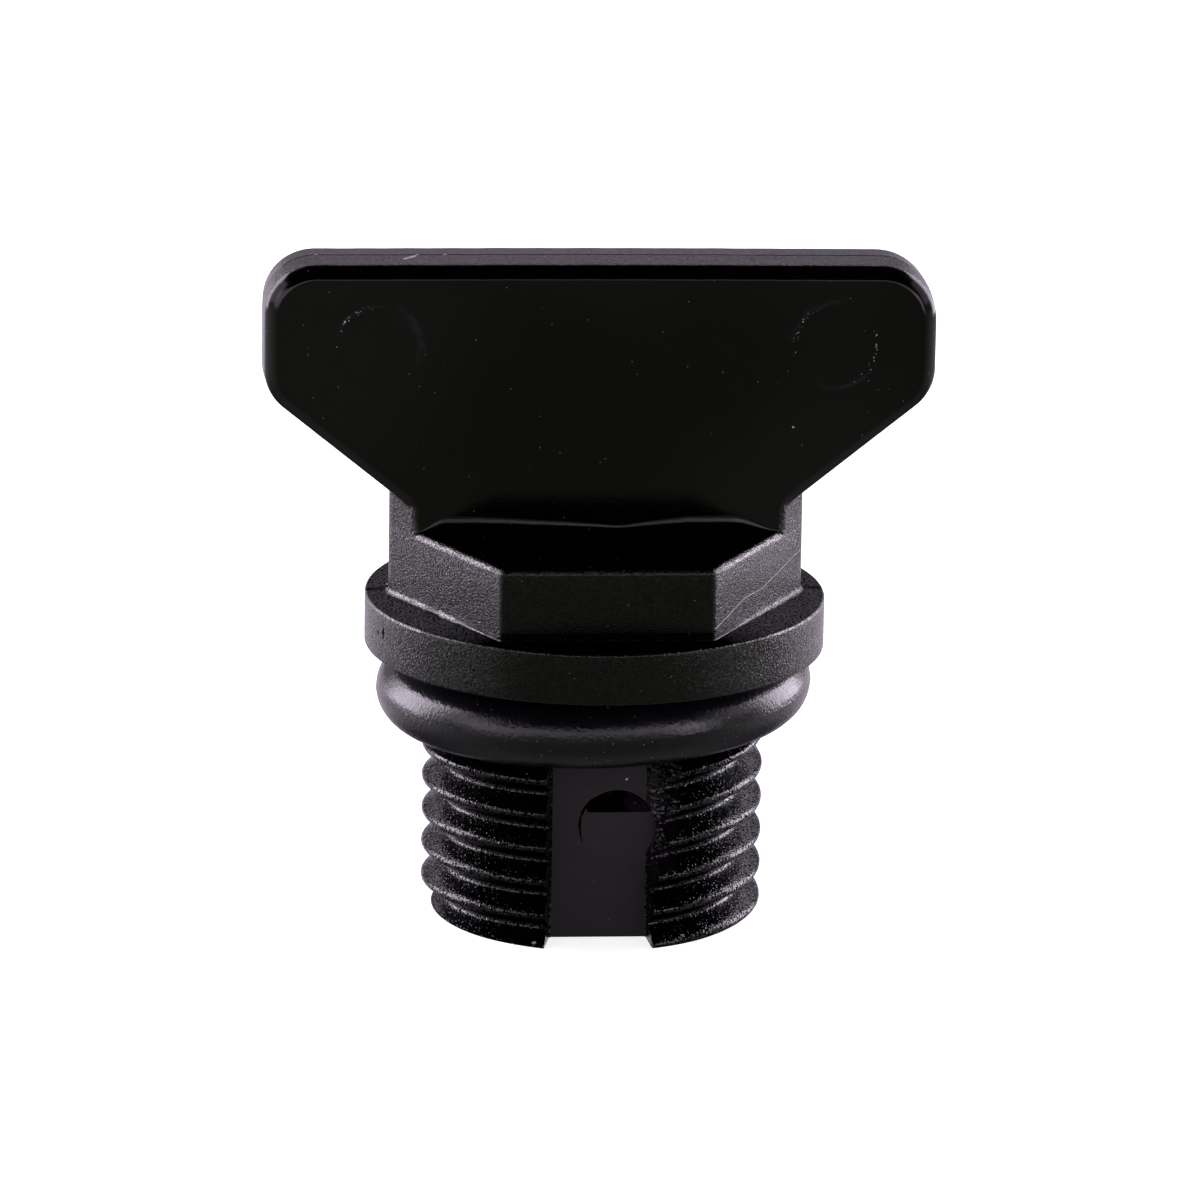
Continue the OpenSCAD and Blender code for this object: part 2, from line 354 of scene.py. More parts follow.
def stack_directions():
    """Directions of the stack's columns in degrees from the slot.

    They lie closer together at the hex's corners, at the parting plane and at its line on the collar's top.
    """
    corner_steps = (-2.6, -2.0, -1.2, -0.8, -0.35, 0.35, 0.8, 1.2, 2.0, 2.6)
    parting_steps = (-3.6, -0.55, -0.2, 0.2, 0.55, 3.6)
    line_steps = (-0.9, -0.55, -0.25, 0, 0.25, 0.55, 0.9)
    even = np.arange(0, 360, 1.5)
    near = [k * 60 + 30 + o for k in range(6) for o in corner_steps]
    parting = [k * 180 + 90 + o for k in range(2) for o in parting_steps]
    line = [c + side * o for c, side in ((92.0, 1), (268.0, -1)) for o in line_steps]
    return np.unique(np.round(np.concatenate([even, near, parting, line]), 3))


def stack_surface(s):
    """Threaded shank, collar and hex as one closed surface: rows of points round the axis, carried up it.

    The thread's rows climb with the helix, so that its crests follow grid lines, and are held between the
    flat end and the neck. The other rows are circles or rounded hexes: a radius for each direction and a
    height for each row.
    """
    way = stack_directions()
    cols = len(way)
    turn = way / 360
    angle = way - 90
    root = s.crest_r - s.depth
    half = s.pitch / 2
    bend = s.round_r * math.cos(THREAD_FLANK)
    steps = np.array([0, 0.35, 0.7, 1.0])
    up = np.concatenate([steps * bend, bend + (half - 2 * bend) * np.array([0.25, 0.5, 0.75, 1.0])])
    up = np.concatenate([up, half - bend * np.array([0.6, 0.2])])
    profile = np.concatenate([-up[:0:-1], up])
    numbers = np.arange(-7, 2)
    z_rows = (s.crest_z + s.pitch * numbers[:, None] + profile[None, :]).ravel()
    z = np.clip(z_rows[:, None] + s.pitch * turn[None, :], 0, NECK_Z)
    r = thread_radius(turn[None, :] + 0 * z, z, s)
    rows = len(z_rows)
    r = r + 0.006 * (r > root + 0.02) * waver(angle[None, :] / 9 + z * 5, 11)
    quads = grid_quads(rows, cols, wrap=False)

    # one turn on, the last column meets the first one of the rows that lie a pitch higher
    last = rows - 1
    k = np.arange(rows - 1)
    over, over_next = np.minimum(k + len(profile), last), np.minimum(k + 1 + len(profile), last)
    seam = np.stack([k * cols + cols - 1, over * cols, over_next * cols, (k + 1) * cols + cols - 1], -1)

    # heights and radii of the rows above the thread: nf fillets the neck, ce the collar, hf and he the hex
    quarter = np.radians(np.linspace(0, 90, 7))
    nf = 0.2
    cl, ch = s.collar_low, collar_top(s)
    ce, he, hf = s.collar_edge, s.hex_edge, s.hex_foot
    top = hex_top(s)
    flat = COLLAR_R - ce
    circles = [(cl - nf * (1 - math.sin(a)), root + nf * (1 - math.cos(a))) for a in quarter]
    circles += [(cl + ce * (1 - math.cos(a)), flat + ce * math.sin(a)) for a in quarter]
    circles += [(cl + s.collar_h * f, COLLAR_R) for f in (0.3, 0.5, 0.7)]
    circles += [(ch - ce * (1 - math.sin(a)), flat + ce * math.cos(a)) for a in quarter]
    to_back = smooth_step((0.8 + np.sin(np.radians(angle))) / 0.25)
    wide = (0.2 + 0.8 * to_back) * (0.8 + 0.5 * waver(angle / 4, 12))
    hexes = [(ch + hf * (1 - math.cos(a)) * wide, -hf * (1 - math.sin(a)) * wide) for a in quarter]
    hexes += [(ch + s.hex_h * f, 0.0) for f in (0.115, 0.3, 0.6)]
    hexes += [(top - he * (1 - math.sin(a)), he * (1 - math.cos(a))) for a in quarter]
    heights = [h + np.zeros(cols) for h, _ in circles + hexes] + [np.full(cols, top)] * 2
    radii = [np.full(cols, q) for _, q in circles] + [hex_radius(angle, i, s) for _, i in hexes]
    radii += [radii[-1] * 0.6, radii[-1] * 0.2]
    z = np.concatenate([z, np.array(heights)])
    r = np.concatenate([r, np.array(radii)])
    upper = (rows - 1) * cols + grid_quads(len(heights) + 1, cols)

    # the mould's parting line: a fine groove in the plane Y = 0, and beside it on the collar's top
    a = np.radians(angle)[None, :]
    y = r * np.sin(a)
    groove = np.exp(-((y / 0.05) ** 2)) * (z > cl + 0.1)
    flat_top = np.exp(-(((y - 0.3) / 0.1) ** 2)) * (np.abs(z - ch) < 0.01) * (r > 6)
    r = r - 0.03 * groove
    z = z - 0.15 * flat_top
    points = np.stack([r * np.cos(a), r * np.sin(a), z], -1).reshape(-1, 3)
    ends = np.array([[0, 0, 0], [0, 0, top]])
    fan_low = fan(0, cols, len(points), back=True)
    fan_high = fan((rows + len(heights) - 1) * cols, cols, len(points) + 1)
    faces = joined(quads, seam, upper, fan_low, fan_high)
    return new_piece("stack", np.concatenate([points, ends]), faces)


def rounded_outline(corners, radii, arc_steps, spacing):
    """Outlines of a polygon with round corners, one for each row of corners.

    Each corner is an arc about a centre set back from both sides, then comes a straight side in even steps.
    Corners are (rows, count, 2), counterclockwise. A negative radius rounds a corner that points inwards.
    """
    corners = np.asarray(corners, float)
    after = np.roll(corners, -1, 1) - corners
    after = after / np.linalg.norm(after, axis=2, keepdims=True)
    after = np.stack([after[..., 1], -after[..., 0]], -1)
    before = np.roll(after, 1, 1)
    radii = np.asarray(radii, float)[..., None]
    centre = corners - (before + after) * radii / (1 + (before * after).sum(2, keepdims=True))
    start = np.arctan2(before[..., 1], before[..., 0])
    bend = (np.arctan2(after[..., 1], after[..., 0]) - start + np.pi) % (2 * np.pi) - np.pi
    a = start[..., None] + bend[..., None] * np.linspace(0, 1, arc_steps + 1)
    arcs = centre[:, :, None, :] + radii[..., None] * np.stack([np.cos(a), np.sin(a)], -1)
    parts = []
    for i in range(corners.shape[1]):
        parts.append(arcs[:, i])
        first, last = arcs[:, i, -1], arcs[:, (i + 1) % corners.shape[1], 0]
        count = max(2, int(np.ceil(np.linalg.norm(last[0] - first[0]) / spacing)))
        f = (np.arange(1, count) / count)[None, :, None]
        parts.append(first[:, None] * (1 - f) + last[:, None] * f)
    return np.concatenate(parts, 1)


def wing_levels(s):
    """Distances from the parting plane at which the plate's outline is taken.

    They lie close together along its rounded edges.
    """
    flat = s.wing_t / 2 - s.wing_edge
    rim = flat + s.wing_edge * np.sin(np.radians(np.linspace(90, 0, 12)))
    side = np.array([1.05, 0.8, 0.6, 0.43, 0.36, 0.28, 0.2, 0.12, 0.045])
    half = np.concatenate([rim, side])
    return np.concatenate([-half, [0.0], half[::-1]])


def wing_inset(y, s):
    """How far the plate's outline has moved in at a distance from the parting plane.

    It is the sum of the draft, the rounded edge and the parting groove. The rounded edge is a superellipse,
    a little flatter in the middle than a circle.
    """
    y = np.abs(y)
    flat = s.wing_t / 2 - s.wing_edge
    into = np.clip((y - flat) / s.wing_edge, 0, 1)
    power = 1.36
    edge = s.wing_edge * (1 - (1 - into**power) ** (1 / power))
    groove = 0.03 * np.clip(1 - y / 0.045, 0, 1)
    return np.minimum(y, flat) * math.tan(math.radians(s.wing_draft)) + edge + groove


def wing_foot(x, y, s):
    """Height of the plate's sloping lower edge at a distance from the middle and from the parting plane."""
    slope = math.radians(s.wing_slope)
    drop = (WING_HALF_W - np.abs(x)) * math.tan(slope)
    return WING_TOP - s.wing_side - drop + wing_inset(y, s) / math.cos(slope)


def neck_half_width(y, s):
    """Half width of the neck under the plate at a distance from the parting plane.

    The neck has the hex's sides with their round corner in the parting plane, and a round corner towards the
    faces. It stays a hair inside the hex.
    """
    y = np.abs(y)
    hair = 0.004
    flat, reach = s.hex_af / 2, s.wing_t / 2
    parting_y = s.hex_parting / 2
    parting = (flat - s.hex_parting) / COS_30 + np.sqrt(s.hex_parting**2 - np.minimum(y, parting_y) ** 2)
    side = (flat - y / 2) / COS_30
    middle = reach - s.neck_corner
    centre = (flat - s.neck_corner - middle / 2) / COS_30
    arc = centre + np.sqrt(np.maximum(s.neck_corner**2 - (y - middle) ** 2, 0))
    outer = np.where(y > reach - s.neck_corner / 2, arc, side)
    return np.where(y < parting_y, parting, outer) - hair


def wing_surface(s):
    """Wing plate and its neck.

    The front view's rounded outline is carried from the front face to the back one through the levels.
    """
    levels = wing_levels(s)
    inset = wing_inset(levels, s)
    neck = neck_half_width(levels, s)
    one = np.ones_like(levels)
    into_hex = 0.6
    low = (hex_top(s) - into_hex) * one
    side, top = WING_HALF_W - inset, WING_TOP - inset
    foot, joint = wing_foot(side, levels, s), wing_foot(neck, levels, s)
    right = [(neck, low), (neck, joint), (side, foot), (side, top)]
    corners = right + [(-x, z) for x, z in right[::-1]]
    round_right = [0.2 * one, -(s.neck_web + inset), s.wing_corner - inset, s.wing_corner + 0.25 - inset]
    round_left = [s.wing_corner - inset, s.wing_corner - inset, -(s.neck_web + inset), 0.2 * one]
    corners = np.stack([np.stack(c, -1) for c in corners], 1)
    outline = rounded_outline(corners, np.stack(round_right + round_left, 1), 14, 0.45)
    rows, cols = outline.shape[:2]
    x, z = outline[..., 0], outline[..., 1]
    y = np.repeat(levels[:, None], cols, 1)
    sag_from = 18
    upper = np.clip((z - sag_from) / (WING_TOP - sag_from), 0, 1)
    sag = 0.07 * smooth_step((x + 2) / 16) + 0.012 * np.clip(waver(x / 2, 5) + 0.6, 0, None)
    z = z - sag * upper**2
    return new_piece("wing", np.stack([x, y, z], -1).reshape(-1, 3), tube_faces(rows, cols))


def fillet_radius(x, side):
    """Radius of the fillet at the plate's foot, in front (side -1) or at the back (side 1).

    In front it is narrow near the middle and wider outwards. It is gone at the hex's sides.
    """
    if side > 0:
        return 0.1 + 0.42 * smooth_step((7.0 - np.abs(x)) / 1.1)
    away = np.clip(np.where(x < 0.8, (0.5 - x) / 5.0, (x - 1.0) / 2.4), 0, 1)
    ends = smooth_step(np.where(x < 0, (7.0 + x) / 1.1, (7.0 - x) / 1.9))
    return 0.05 + (0.29 + 0.36 * away**0.8) * ends


def fillet_surface(s, side):
    """Concave fillet between a face of the plate and the hex's top.

    It is carried along the neck's front and its round corners, and trimmed to the hex's sides.
    """
    reach, flat = s.wing_t / 2, s.hex_af / 2
    middle = reach - s.neck_corner
    centre = (flat - s.neck_corner - middle / 2) / COS_30
    arc = np.radians(np.linspace(-90, -30, 9))
    ax, ay = centre + s.neck_corner * np.cos(arc), -middle + s.neck_corner * np.sin(arc)
    line = np.linspace(-centre, centre, 61)[1:-1]
    x = np.concatenate([-ax[::-1], line, ax])
    y = np.concatenate([ay[::-1], np.full(len(line), -reach), ay])
    nx = np.concatenate([-np.cos(arc[::-1]), 0 * line, np.cos(arc)])
    ny = np.concatenate([np.sin(arc[::-1]), 0 * line - 1, np.sin(arc)])
    r = fillet_radius(x, side)[None, :]
    top = hex_top(s)
    b = np.radians(np.linspace(0, 90, 12))[:, None]
    one = np.ones_like(r)
    out = np.concatenate([r * (1 - np.cos(b)), r, -0.25 * one, -0.25 * one])
    out[0] = -0.002
    z = np.concatenate([top + r * (1 - np.sin(b)), top - 0.3 * one, top - 0.3 * one, top + r])
    px, py = x + nx * out, y + ny * out
    over = np.maximum(np.abs(px) * COS_30 - py / 2 - (flat - 0.006), 0)
    px = px - np.sign(px) * COS_30 * over
    py = py + over / 2
    points = np.stack([px, -side * py, z], -1)
    rows, cols = out.shape
    return new_piece("fillet", points.transpose(1, 0, 2).reshape(-1, 3), tube_faces(cols, rows))


def slot_cutter(s):
    """Drain slot: a drafted trapezium carried up the shank. Its right wall is torn into upright ledges.

    Outwards from the floor the torn wall moves aside in smoothed steps, whose place and size wander with the
    height.
    """
    z = np.concatenate([[-1.0], np.linspace(0, s.slot_len, 170)])[:, None]
    reach = s.crest_r - s.slot_floor
    half = s.slot_w / 2
    out = np.concatenate([[0.0], np.linspace(0.06, reach + 0.06, 44), [reach + 1.0]])[None, :]
    ledge_depth, ledge_width, left_draft = 0.46, 0.24, 12
    torn = smooth_step((z - 2.7) / 0.8) * (0.45 + 0.55 * smooth_step((z - 4.2) / 1.1))
    wide = 1 + 0.55 * smooth_step((z - 5.2) / 0.6)
    ledge = out / ledge_depth + 0.7 * waver(z * 2.4, 24, 6, 0.7, 3.0) + 0.25 * waver(z * 7, 25)
    whole = np.floor(ledge)
    step = ledge_width * wide * (whole + smooth_step((ledge - whole - 0.3) / 0.5) - ledge[:, :1])
    lump = waver(z * 3.5 + out * 6, 26) + waver(z * 2.5 - out * 11, 27)
    lump = lump + waver(z * 6 + 2 * np.sin(out * 6), 28)
    rag = (0.03 + 0.08 * torn) * lump * np.clip(out / 0.3, 0, 1)
    aside = out * np.tan(np.radians(6 + 8 * smooth_step((z - 0.8) / 2)))
    jut = np.clip(step + 0.22 + 0.2 * waver(z * 3, 23), 0.02, 1.1 * wide)
    right = half - 0.04 + aside + rag + torn * np.clip(out / 0.25, 0, 1) * jut
    left = -half - 0.04 - out * math.tan(math.radians(left_draft)) + 0.02 * waver(z * 4, 22)
    left[:, 0] += 0.06
    right[:, 0] -= 0.06
    x = np.concatenate([left, right[:, ::-1]], 1)
    y = -(s.slot_floor + np.concatenate([out, out[:, ::-1]], 1)) + 0 * x
    rows, cols = x.shape
    points = np.stack([x, y, np.repeat(z, cols, 1)], -1).reshape(-1, 3)
    return new_piece("slot", points, tube_faces(rows, cols))


def groove_cutter(x, z, y_face, radius, width, first, last):
    """Fine groove along part of a circle on a face.

    It is a round tube carried along the arc, thinning out at both ends.
    """
    count = 48
    a = np.radians(np.linspace(first, last, count))[:, None]
    v = np.radians(np.arange(0, 360, 45))[None, :]
    thick = width / 2 * np.sqrt(np.sin(np.pi * np.linspace(0.01, 0.99, count)))[:, None]
    out = radius + thick * np.cos(v)
    points = np.stack([x + out * np.cos(a), y_face + thick * np.sin(v) + 0 * a, z + out * np.sin(a)], -1)
    return new_piece("groove", points.reshape(-1, 3), tube_faces(*points.shape[:2]))


def pit_cutter(place, size):
    """Small pit in the surface: an uneven ellipsoid of the given half sizes, as rings from pole to pole."""
    v = np.radians(np.linspace(-90, 90, 11))[1:-1, None]
    u = np.radians(np.arange(0, 360, 22.5))[None, :]
    rough = 1 + 0.25 * waver(3 * u + 5 * v, 61, 5, 0.8, 3)
    ball = [rough * np.cos(v) * np.cos(u), rough * np.cos(v) * np.sin(u), np.sin(v) + 0 * u]
    ball = np.stack(ball, -1)
    rows, cols = ball.shape[:2]
    points = np.concatenate([ball.reshape(-1, 3), [[0, 0, -1], [0, 0, 1]]]) * size + place
    low = fan(0, cols, rows * cols, back=True)
    high = fan((rows - 1) * cols, cols, rows * cols + 1)
    return new_piece("pit", points, joined(grid_quads(rows, cols), low, high))


def pin_cutter(x, z, y_face, depth, radius, seed, chord=None, ramp=0.0):
    """Shallow mark of an ejector pin: a slightly uneven circle carried from its floor outwards, towards -Y.

    With a chord, only the segment above that height is left, closed by a wavy line. The floor sinks along a
    ramp from the mark's lowest point, or from the chord, upwards.
    """
    a = np.radians(np.arange(0, 360, 3.0))
    r = radius + 0.02 * waver(a * 6, seed, 6, 0.7, 5)
    px, pz = x + r * np.cos(a), z + r * np.sin(a)
    start = z - radius
    if chord is not None:
        start = chord
        px, pz = px[pz > chord], pz[pz > chord]
        line = np.linspace(px[-1], px[0], 22)[1:-1]
        px = np.concatenate([px, line])
        pz = np.concatenate([pz, chord + 0.04 * waver(line * 5, seed + 1)])
    sink = ramp * np.clip((pz - start) / (z + radius - start), 0, 1)
    open_y = y_face - 0.9
    ys = np.array([y_face + depth, open_y])[:, None] + np.stack([sink, 0 * sink])
    cols = len(px)
    middle = np.array([[px.mean(), ys[0].mean(), pz.mean()], [px.mean(), open_y, pz.mean()]])
    points = np.stack([np.stack([px, px]), ys, np.stack([pz, pz])], -1).reshape(-1, 3)
    floor = fan(0, cols, 2 * cols)
    cover = fan(cols, cols, 2 * cols + 1, back=True)
    return new_piece("pin_mark", np.concatenate([points, middle]), joined(grid_quads(2, cols), floor, cover))


def finish_regions(mesh, s):
    """Writes to each face what skin it has, for the material to read.

    The skins are smooth faces, the slot, faces with painted shade, and the eroded rest. Painted shade below
    zero is a painted highlight, an edge that catches more light.
    """
    count = len(mesh.polygons)
    centre, normal = np.zeros(count * 3), np.zeros(count * 3)
    mesh.polygons.foreach_get("center", centre)
    mesh.polygons.foreach_get("normal", normal)
    x, y, z = centre.reshape(-1, 3).T / MM
    _, ny, nz = normal.reshape(-1, 3).T
    away = np.hypot(x, y)
    ch, top = collar_top(s), hex_top(s)
    neck_reach, foot_reach, corner_reach = 6.9, 4.0, 6.2

    # smooth: the plate's faces, and less so the hex's and collar's sides that look forwards or backwards
    plate = (z > top + 0.01) & (np.abs(x) < neck_reach) | (z > top + 1)
    flank = (z > s.collar_low) & ~plate
    across = 0.6 * flank * smooth_step((np.abs(ny) - 0.8) / 0.15)
    wing = np.where(plate, smooth_step((np.abs(ny) - 0.25) / 0.25), across)

    # slot: its floor and disc, and a little the torn wall's outer face
    depth = s.slot_floor + y
    low_part = (depth < 0.04) | (depth < 0.12) & (z < 5)
    slot = (np.abs(x) < s.slot_w / 2 + 0.25) & (ny < -0.95) & (depth > -0.2) & low_part & (z < 7.7)
    # painted shade in the pin's pocket over the disc
    pocket_shade = (np.abs(x - 0.7) < 1.45) & (np.abs(depth - 0.45) < 0.4) & ~slot & between(z, 4.9, 6.2)
    flash = (x > 1.75) & (depth < 0.02) & (away < 6.4)
    flash = flash * smooth_step((3.2 - x) / 0.5) * smooth_step((z - 2.5) / 0.8) * (z < 8)
    slot = np.maximum(slot, 0.25 * flash)

    # painted shade, as gloss taken off: the pocket, the tops of collar and hex, the thread's lower flanks,
    # the hex's foot, torn patches
    # painted shade on the tops of collar and hex, more towards the front of the collar
    forward = smooth_step((-y / away - 0.55) / 0.3)
    on_collar = (0.84 + 0.16 * forward) * between(z, ch - 0.1, top)
    top_shade = (nz > 0.9) * np.where(between(z, top - 0.05, top + 0.3), 1.0, on_collar)
    # painted shade on the thread's lower flanks, which face down, more towards the front
    under = smooth_step((-nz - 0.3) / 0.4) * between(z, 0.05, NECK_Z) * (1 - slot)
    under = under * (0.4 + 0.6 * smooth_step((-y / away - 0.45) / 0.35))
    # painted shade in the crease along the hex's foot in front
    foot = flank & between(z, ch, ch + 0.33) & (np.abs(x) < foot_reach) & (y < -6)
    # painted shade in patches on the torn wall, standing in for its dark gaps
    gaps = waver(z * 6 + 3 * x, 71) + waver(x * 11 - 2 * z, 72) + 0.1
    gap_shade = np.maximum(0.8 * foot, flash * smooth_step((gaps - 0.25) / 0.15))
    shade_and_highlight = np.maximum(pocket_shade + top_shade + under, gap_shade)

    # painted highlights, as gloss raised: edges that catch more light: the hex's and collar's upper rims, and
    # dashes along the hex's foot
    bent = flank & between(nz, 0.12, 0.96) & (y > -6.4) & (np.abs(x) > foot_reach)
    highlight_edges = between(z, top - s.hex_edge, top) & (away > corner_reach)
    rim = (np.abs(z - ch) < s.collar_edge) & (away > COLLAR_R - s.collar_edge)
    highlight_edges = highlight_edges | rim & (y > np.where(x > 0, -6.4, -5.4))
    highlight_dashes = (x < -6.65) | (np.abs(x + 5.9) < 0.3) | (np.abs(x + 4.9) < 0.25) | (x > 6.6)
    highlight_dashes = highlight_dashes & between(z, ch, ch + s.hex_foot + 0.02) & (away > corner_reach)
    shade_and_highlight = np.where(bent & highlight_dashes, np.where(x > 0, -0.2, -1.0), shade_and_highlight)
    shade_and_highlight = np.where(bent & highlight_edges, -1.0, shade_and_highlight)
    for name, values in (("smooth_skin", wing), ("slot_skin", slot), ("painted_shade_and_highlight", shade_and_highlight)):
        layer = mesh.attributes.new(name, "FLOAT", "FACE")
        layer.data.foreach_set("value", values.astype(np.float32))


def smooth_faces(obj):
    obj.data.polygons.foreach_set("use_smooth", np.ones(len(obj.data.polygons), bool))


def shade(obj, degrees):
    """Smooth shading with sharp edges above an angle, and normals that favour the large faces."""
    smooth_faces(obj)
    obj.data.set_sharp_from_angle(angle=math.radians(degrees))
    even = obj.modifiers.new("even_normals", "WEIGHTED_NORMAL")
    even.keep_sharp = True
    even.weight = 80


class Tree:
    """A material's node tree with short calls for the nodes used here."""

    def __init__(self, name):
        self.material = bpy.data.materials.new(name)
        self.material.use_nodes = True
        self.tree = self.material.node_tree
        self.shader = self.tree.nodes["Principled BSDF"]
        self.place = self.node("TexCoord").outputs["Object"]

    def node(self, kind, inputs=(), **settings):
        n = self.tree.nodes.new("ShaderNode" + kind)
        for key, value in settings.items():
            setattr(n, key, value)
        for key, value in dict(inputs).items():
            self.give(n.inputs[key], value)
        return n

    def give(self, socket, value):
        if isinstance(value, bpy.types.NodeSocket):
            self.tree.links.new(value, socket)
        else:
            socket.default_value = value

    def math(self, operation, a, b=0.0, c=0.0, clamp=False):
        n = self.node("Math", {0: a, 1: b, 2: c}, operation=operation, use_clamp=clamp)
        return n.outputs[0]

    def times(self, a, b):
        return self.math("MULTIPLY", a, b)

    def most(self, a, b):
        return self.math("MAXIMUM", a, b)

    def shine(self, name, value):
        self.give(self.shader.inputs[name], value)

    def noise(self, scale, detail=2.0, rough=0.5, warp=0.0):
        inputs = {"Vector": self.place, "Scale": scale, "Detail": detail, "Roughness": rough}
        return self.node("TexNoise", {**inputs, "Distortion": warp}).outputs["Fac"]

    def span(self, value, low, high, out_low=0.0, out_high=1.0, smooth=True):
        inputs = {0: value, 1: low, 2: high, 3: out_low, 4: out_high}
        kind = "SMOOTHSTEP" if smooth else "LINEAR"
        return self.node("MapRange", inputs, interpolation_type=kind).outputs[0]

    def mix(self, share, a, b):
        n = self.node("Mix", {0: share, 6: a, 7: b}, data_type="RGBA")
        return n.outputs[2]

    def blend(self, share, a, b):
        n = self.node("Mix", {0: share, 2: a, 3: b}, data_type="FLOAT")
        return n.outputs[0]

    def vector(self, operation, a, b=(0, 0, 0)):
        """Output of a vector operation: a number where the operation gives one."""
        n = self.node("VectorMath", {0: a, 1: b}, operation=operation)
        return n.outputs["Value" if operation in ("DISTANCE", "LENGTH", "DOT_PRODUCT") else "Vector"]

    def layer(self, name):
        return self.node("Attribute", attribute_name=name).outputs["Fac"]

    def bump(self, height, strength, distance, under=None):
        n = self.node("Bump", {"Strength": strength, "Distance": distance, "Height": height})
        if under is not None:
            self.give(n.inputs["Normal"], under)
        return n.outputs[0]

    def specks(self, scale, share, size, core=0.6):
        """Sparse round specks: cells of a Voronoi pattern, of which a share holds a speck of the given size.

        A core of zero makes domes.
        """
        n = self.node("TexVoronoi", {"Vector": self.place, "Scale": scale})
        drawn = self.node("SeparateColor", {0: n.outputs["Color"]}).outputs[0]
        dot = self.span(n.outputs["Distance"], size, size * core)
        return self.times(self.math("LESS_THAN", drawn, share), dot)

    def spot(self, point, size):
        """A soft ragged spot round one point, given in millimetres."""
        away = self.vector("DISTANCE", self.place, metres(point))
        ragged = self.math("MULTIPLY_ADD", self.noise(16000.0, 1.0), size * MM * 0.9, away)
        return self.span(ragged, size * MM * 1.5, size * MM * 1.1)

    def arc(self, centre, radius, width, towards):
        """A soft line along one side of a circle, given in millimetres, on a face that looks towards -Y."""
        out = self.vector("SUBTRACT", self.place, metres(centre))
        off = self.math("ABSOLUTE", self.math("SUBTRACT", self.vector("LENGTH", out), radius * MM))
        side = self.vector("DOT_PRODUCT", out, [v / (radius * MM) for v in towards])
        line = self.span(off, width * MM, 0.1 * width * MM)
        return self.times(line, self.span(side, 0.6, 1.0))

    def line(self, start, end, width):
        """A thin scratch from one point to another, given in millimetres.

        It follows the distance to the segment between them.
        """
        a = np.array(start) * MM
        d = np.array(end) * MM - a
        out = self.vector("SUBTRACT", self.place, a.tolist())
        dot = self.vector("DOT_PRODUCT", out, (d / (d @ d)).tolist())
        along = self.math("MINIMUM", self.most(dot, 0.0), 1.0)
        near = self.node("VectorMath", {0: d.tolist(), "Scale": along}, operation="SCALE").outputs[0]
        away = self.vector("DISTANCE", out, near)
        uneven = self.math("MULTIPLY_ADD", self.noise(9000.0, 2.0), width * MM * 1.2, away)
        return self.span(uneven, width * MM * 1.6, width * MM * 0.9)


